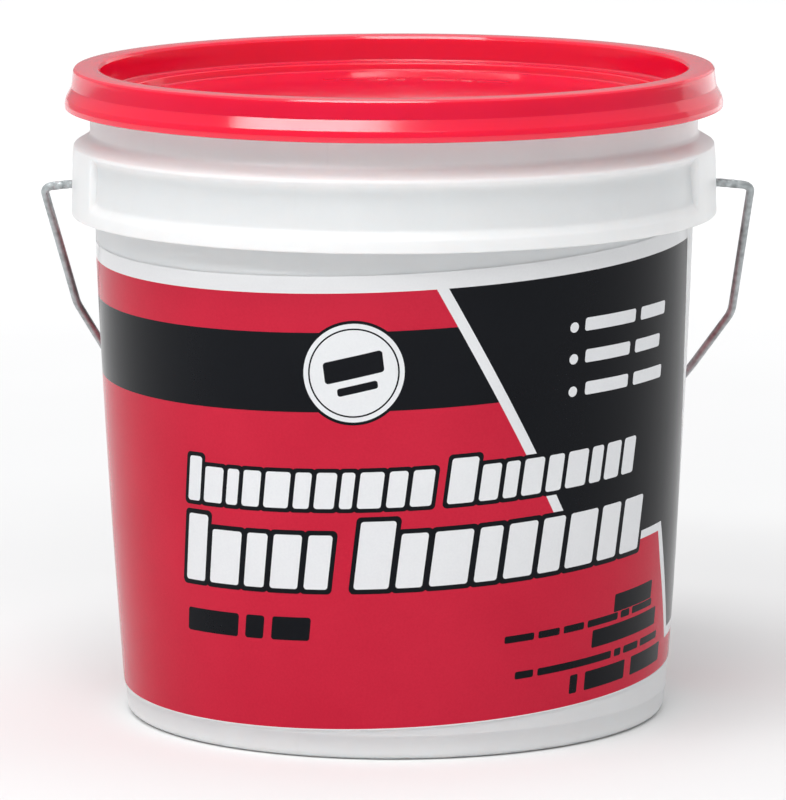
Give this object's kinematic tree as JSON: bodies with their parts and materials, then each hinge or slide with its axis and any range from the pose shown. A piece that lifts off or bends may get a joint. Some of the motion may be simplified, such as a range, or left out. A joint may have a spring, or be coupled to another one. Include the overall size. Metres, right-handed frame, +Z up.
{
  "type": "joint compound pail",
  "caption": "Round tapered plastic pail with a stacking flange, a recessed press-on lid, a wire bail handle and a wrap label, filled with ready-mixed joint compound.",
  "frame": {"origin": "on the floor, at the centre of the pail's foot ring", "axes": "+Z up along the pail's axis, the bail's hinge axis along X through the two ears, the label's front towards -Y and the resting bail behind the pail on the +Y side"},
  "size_m": [0.2174, 0.1998, 0.1978],
  "materials": {
    "pail_plastic": "satin",
    "lid_plastic": "gloss",
    "bail_steel": "satin",
    "label_film": "gloss",
    "compound": "matte"
  },
  "bodies": {
    "pail": {"pail_body": "pail_plastic", "joint_compound": "compound", "label": "label_film"},
    "lid": {"lid": "lid_plastic"},
    "bail": {"bail_wire": "bail_steel"}
  },
  "joints": [
    {"name": "bail_swing", "type": "hinge", "parent": "pail", "child": "bail", "pos_m": [0, 0, 0.1615], "axis": [1, 0, 0], "range_deg": [0, 281.3]},
    {"name": "lid_lift", "type": "slide", "parent": "pail", "child": "lid", "axis": [0, 0, 1], "range_m": [0, 0.08]}
  ]
}
